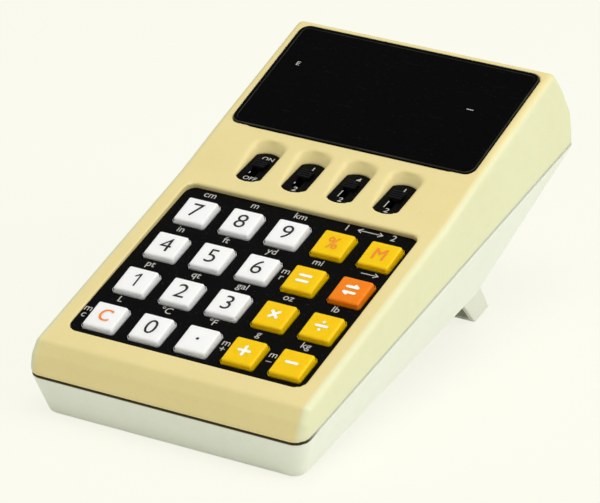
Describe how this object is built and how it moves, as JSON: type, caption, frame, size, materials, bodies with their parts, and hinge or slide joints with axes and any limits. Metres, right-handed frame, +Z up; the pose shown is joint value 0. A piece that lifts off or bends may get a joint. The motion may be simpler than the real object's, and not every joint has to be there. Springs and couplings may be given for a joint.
{
  "type": "desk calculator",
  "caption": "Wedge-shaped desk calculator and unit converter with pressable keys, slide switches, a display window and a fold-out tilt stand.",
  "frame": {"origin": "centre of the bounding box on the table, with the stand out", "axes": "+Z up from the table, +Y from the keys to the display, +X to the right of the keypad"},
  "size_m": [0.091, 0.155, 0.0723],
  "materials": {
    "cream_plastic": "satin moulded cream plastic",
    "white_plastic": "satin moulded grey-white plastic",
    "ivory_plastic": "satin moulded ivory plastic",
    "window_black": "polished black window",
    "panel_black": "fine-grained black panel",
    "key_white": "white moulded key",
    "key_yellow": "yellow moulded key",
    "key_orange": "orange moulded key",
    "knob_grey": "dark grey ribbed knob",
    "steel": "plain steel",
    "board_green": "circuit board",
    "chip_black": "moulded chip",
    "parts_blue": "sleeved circuit parts",
    "tube_glass": "flat glass tube",
    "ribbon_grey": "flat cable",
    "battery_blue": "wrapped battery",
    "snap_black": "battery snap",
    "lead_red": "insulated wire"
  },
  "bodies": {
    "case": {"upper_case": "cream_plastic", "lower_case": "white_plastic", "display_window": "window_black", "keypad_panel": "panel_black", "key_domes": "steel", "main_board": "board_green", "processor_chip": "chip_black", "circuit_parts": "parts_blue", "switch_plate": "panel_black", "switch_bodies": "steel", "display_board": "board_green", "display_tube": "tube_glass", "ribbon_cable": "ribbon_grey", "stand_pin": "steel", "battery": "battery_blue", "battery_snap": "snap_black", "battery_leads": "lead_red", "case_screws": "steel"},
    "key_7": {"key_7": "key_white"},
    "key_8": {"key_8": "key_white"},
    "key_9": {"key_9": "key_white"},
    "key_percent": {"key_percent": "key_yellow"},
    "key_memory": {"key_memory": "key_yellow"},
    "key_4": {"key_4": "key_white"},
    "key_5": {"key_5": "key_white"},
    "key_6": {"key_6": "key_white"},
    "key_equals": {"key_equals": "key_yellow"},
    "key_convert": {"key_convert": "key_orange"},
    "key_1": {"key_1": "key_white"},
    "key_2": {"key_2": "key_white"},
    "key_3": {"key_3": "key_white"},
    "key_times": {"key_times": "key_yellow"},
    "key_divide": {"key_divide": "key_yellow"},
    "key_clear": {"key_clear": "key_white"},
    "key_0": {"key_0": "key_white"},
    "key_point": {"key_point": "key_white"},
    "key_plus": {"key_plus": "key_yellow"},
    "key_minus": {"key_minus": "key_yellow"},
    "knob_power": {"knob_power": "knob_grey"},
    "knob_system": {"knob_system": "knob_grey"},
    "knob_places": {"knob_places": "knob_grey"},
    "knob_mile": {"knob_mile": "knob_grey"},
    "stand": {"tilt_stand": "ivory_plastic"},
    "door": {"battery_door": "white_plastic"}
  },
  "joints": [
    {"name": "key_7_press", "type": "slide", "parent": "case", "child": "key_7", "axis": [0, 0.2971, -0.9548], "range_m": [0, 0.001], "stiffness_N_per_m": 500, "springref_m": -0.0006, "deforming": ["key_domes"]},
    {"name": "key_8_press", "type": "slide", "parent": "case", "child": "key_8", "axis": [0, 0.2971, -0.9548], "range_m": [0, 0.001], "stiffness_N_per_m": 500, "springref_m": -0.0006, "deforming": ["key_domes"]},
    {"name": "key_9_press", "type": "slide", "parent": "case", "child": "key_9", "axis": [0, 0.2971, -0.9548], "range_m": [0, 0.001], "stiffness_N_per_m": 500, "springref_m": -0.0006, "deforming": ["key_domes"]},
    {"name": "key_percent_press", "type": "slide", "parent": "case", "child": "key_percent", "axis": [0, 0.2971, -0.9548], "range_m": [0, 0.001], "stiffness_N_per_m": 500, "springref_m": -0.0006, "deforming": ["key_domes"]},
    {"name": "key_memory_press", "type": "slide", "parent": "case", "child": "key_memory", "axis": [0, 0.2971, -0.9548], "range_m": [0, 0.001], "stiffness_N_per_m": 500, "springref_m": -0.0006, "deforming": ["key_domes"]},
    {"name": "key_4_press", "type": "slide", "parent": "case", "child": "key_4", "axis": [0, 0.2971, -0.9548], "range_m": [0, 0.001], "stiffness_N_per_m": 500, "springref_m": -0.0006, "deforming": ["key_domes"]},
    {"name": "key_5_press", "type": "slide", "parent": "case", "child": "key_5", "axis": [0, 0.2971, -0.9548], "range_m": [0, 0.001], "stiffness_N_per_m": 500, "springref_m": -0.0006, "deforming": ["key_domes"]},
    {"name": "key_6_press", "type": "slide", "parent": "case", "child": "key_6", "axis": [0, 0.2971, -0.9548], "range_m": [0, 0.001], "stiffness_N_per_m": 500, "springref_m": -0.0006, "deforming": ["key_domes"]},
    {"name": "key_equals_press", "type": "slide", "parent": "case", "child": "key_equals", "axis": [0, 0.2971, -0.9548], "range_m": [0, 0.001], "stiffness_N_per_m": 500, "springref_m": -0.0006, "deforming": ["key_domes"]},
    {"name": "key_convert_press", "type": "slide", "parent": "case", "child": "key_convert", "axis": [0, 0.2971, -0.9548], "range_m": [0, 0.001], "stiffness_N_per_m": 500, "springref_m": -0.0006, "deforming": ["key_domes"]},
    {"name": "key_1_press", "type": "slide", "parent": "case", "child": "key_1", "axis": [0, 0.2971, -0.9548], "range_m": [0, 0.001], "stiffness_N_per_m": 500, "springref_m": -0.0006, "deforming": ["key_domes"]},
    {"name": "key_2_press", "type": "slide", "parent": "case", "child": "key_2", "axis": [0, 0.2971, -0.9548], "range_m": [0, 0.001], "stiffness_N_per_m": 500, "springref_m": -0.0006, "deforming": ["key_domes"]},
    {"name": "key_3_press", "type": "slide", "parent": "case", "child": "key_3", "axis": [0, 0.2971, -0.9548], "range_m": [0, 0.001], "stiffness_N_per_m": 500, "springref_m": -0.0006, "deforming": ["key_domes"]},
    {"name": "key_times_press", "type": "slide", "parent": "case", "child": "key_times", "axis": [0, 0.2971, -0.9548], "range_m": [0, 0.001], "stiffness_N_per_m": 500, "springref_m": -0.0006, "deforming": ["key_domes"]},
    {"name": "key_divide_press", "type": "slide", "parent": "case", "child": "key_divide", "axis": [0, 0.2971, -0.9548], "range_m": [0, 0.001], "stiffness_N_per_m": 500, "springref_m": -0.0006, "deforming": ["key_domes"]},
    {"name": "key_clear_press", "type": "slide", "parent": "case", "child": "key_clear", "axis": [0, 0.2971, -0.9548], "range_m": [0, 0.001], "stiffness_N_per_m": 500, "springref_m": -0.0006, "deforming": ["key_domes"]},
    {"name": "key_0_press", "type": "slide", "parent": "case", "child": "key_0", "axis": [0, 0.2971, -0.9548], "range_m": [0, 0.001], "stiffness_N_per_m": 500, "springref_m": -0.0006, "deforming": ["key_domes"]},
    {"name": "key_point_press", "type": "slide", "parent": "case", "child": "key_point", "axis": [0, 0.2971, -0.9548], "range_m": [0, 0.001], "stiffness_N_per_m": 500, "springref_m": -0.0006, "deforming": ["key_domes"]},
    {"name": "key_plus_press", "type": "slide", "parent": "case", "child": "key_plus", "axis": [0, 0.2971, -0.9548], "range_m": [0, 0.001], "stiffness_N_per_m": 500, "springref_m": -0.0006, "deforming": ["key_domes"]},
    {"name": "key_minus_press", "type": "slide", "parent": "case", "child": "key_minus", "axis": [0, 0.2971, -0.9548], "range_m": [0, 0.001], "stiffness_N_per_m": 500, "springref_m": -0.0006, "deforming": ["key_domes"]},
    {"name": "knob_power_slide", "type": "slide", "parent": "case", "child": "knob_power", "axis": [0, -0.9747, -0.2236], "range_m": [0, 0.0044]},
    {"name": "knob_system_slide", "type": "slide", "parent": "case", "child": "knob_system", "axis": [0, -0.9747, -0.2236], "range_m": [0, 0.0044]},
    {"name": "knob_places_slide", "type": "slide", "parent": "case", "child": "knob_places", "axis": [0, -0.9747, -0.2236], "range_m": [0, 0.0044]},
    {"name": "knob_mile_slide", "type": "slide", "parent": "case", "child": "knob_mile", "axis": [0, -0.9747, -0.2236], "range_m": [0, 0.0044]},
    {"name": "stand_fold", "type": "hinge", "parent": "case", "child": "stand", "pos_m": [0, 0.03049, 0.02234], "axis": [-1, 0, 0], "range_deg": [0, 113.5]},
    {"name": "door_release", "type": "slide", "parent": "case", "child": "door", "axis": [0, 0.5599, -0.8286], "range_m": [0, 0.02]}
  ]
}
